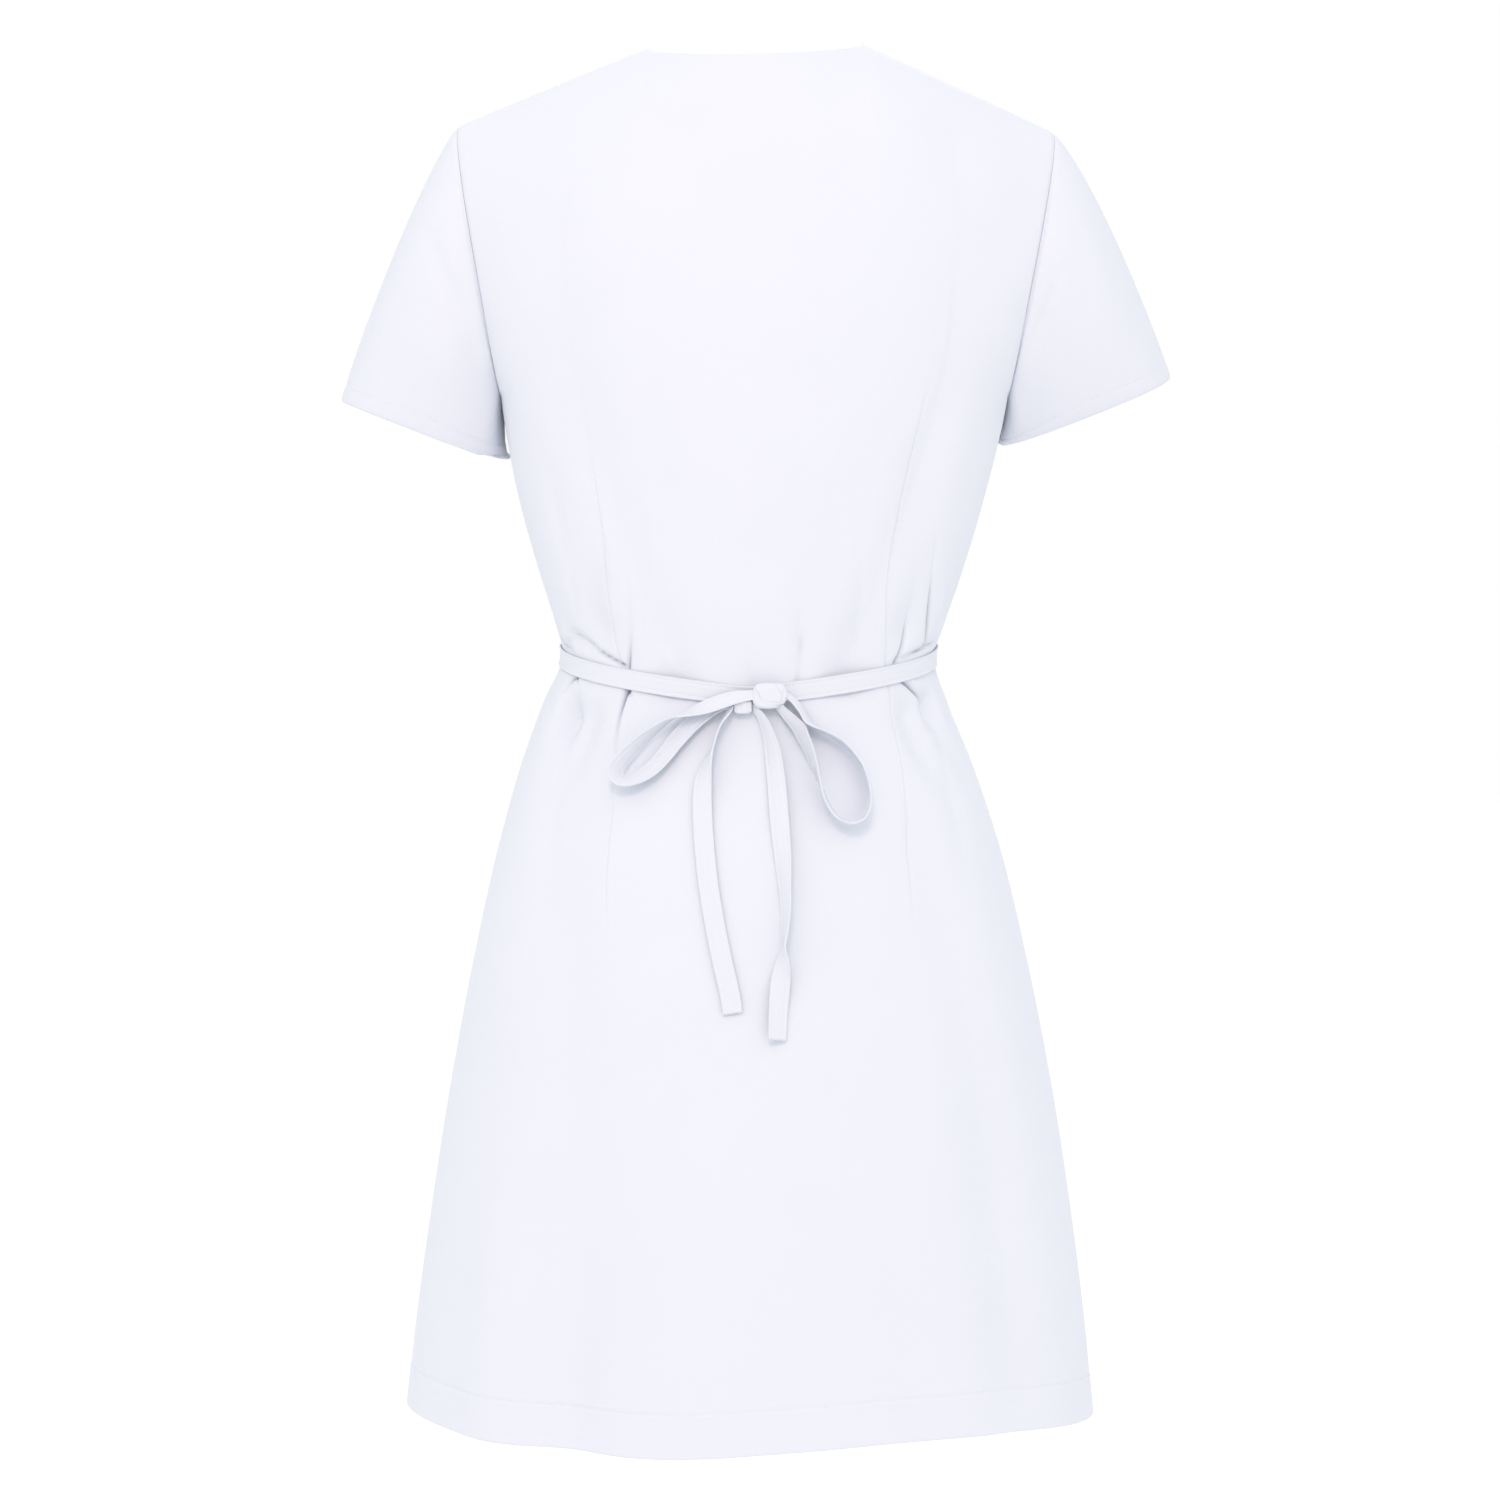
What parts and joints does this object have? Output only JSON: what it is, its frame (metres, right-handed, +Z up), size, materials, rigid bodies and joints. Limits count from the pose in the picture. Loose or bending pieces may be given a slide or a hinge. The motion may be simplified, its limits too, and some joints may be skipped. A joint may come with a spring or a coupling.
{
  "type": "nurse uniform dress",
  "caption": "White short-sleeved dress, filled out as worn, with a V neck and a narrow tie in a bow at the back waist.",
  "frame": {"origin": "midway between the two points where the neckline meets the shoulder seams, where the wearer's shoulders hold the dress", "axes": "+Z up from hem to shoulders, +Y out of the back with the bow, -Y out of the front, +X towards the wearer's left"},
  "size_m": [0.566, 0.3131, 0.93],
  "materials": {
    "back_cloth": "matt plain weave",
    "front_cloth": "matt plain weave",
    "sleeve_cloth": "matt plain weave",
    "tie_cloth": "matt plain weave, edge-stitched",
    "bow_cloth": "matt plain weave, edge-stitched"
  },
  "bodies": {
    "root": {"back_panel": "back_cloth", "front_panel": "front_cloth", "sleeve_left": "sleeve_cloth", "sleeve_right": "sleeve_cloth", "tie_strap_left": "tie_cloth", "tie_strap_right": "tie_cloth", "bow_knot": "bow_cloth", "bow_wrap": "bow_cloth", "bow_loop_left": "bow_cloth", "bow_loop_right": "bow_cloth", "bow_tail_left": "bow_cloth", "bow_tail_right": "bow_cloth"}
  },
  "joints": []
}
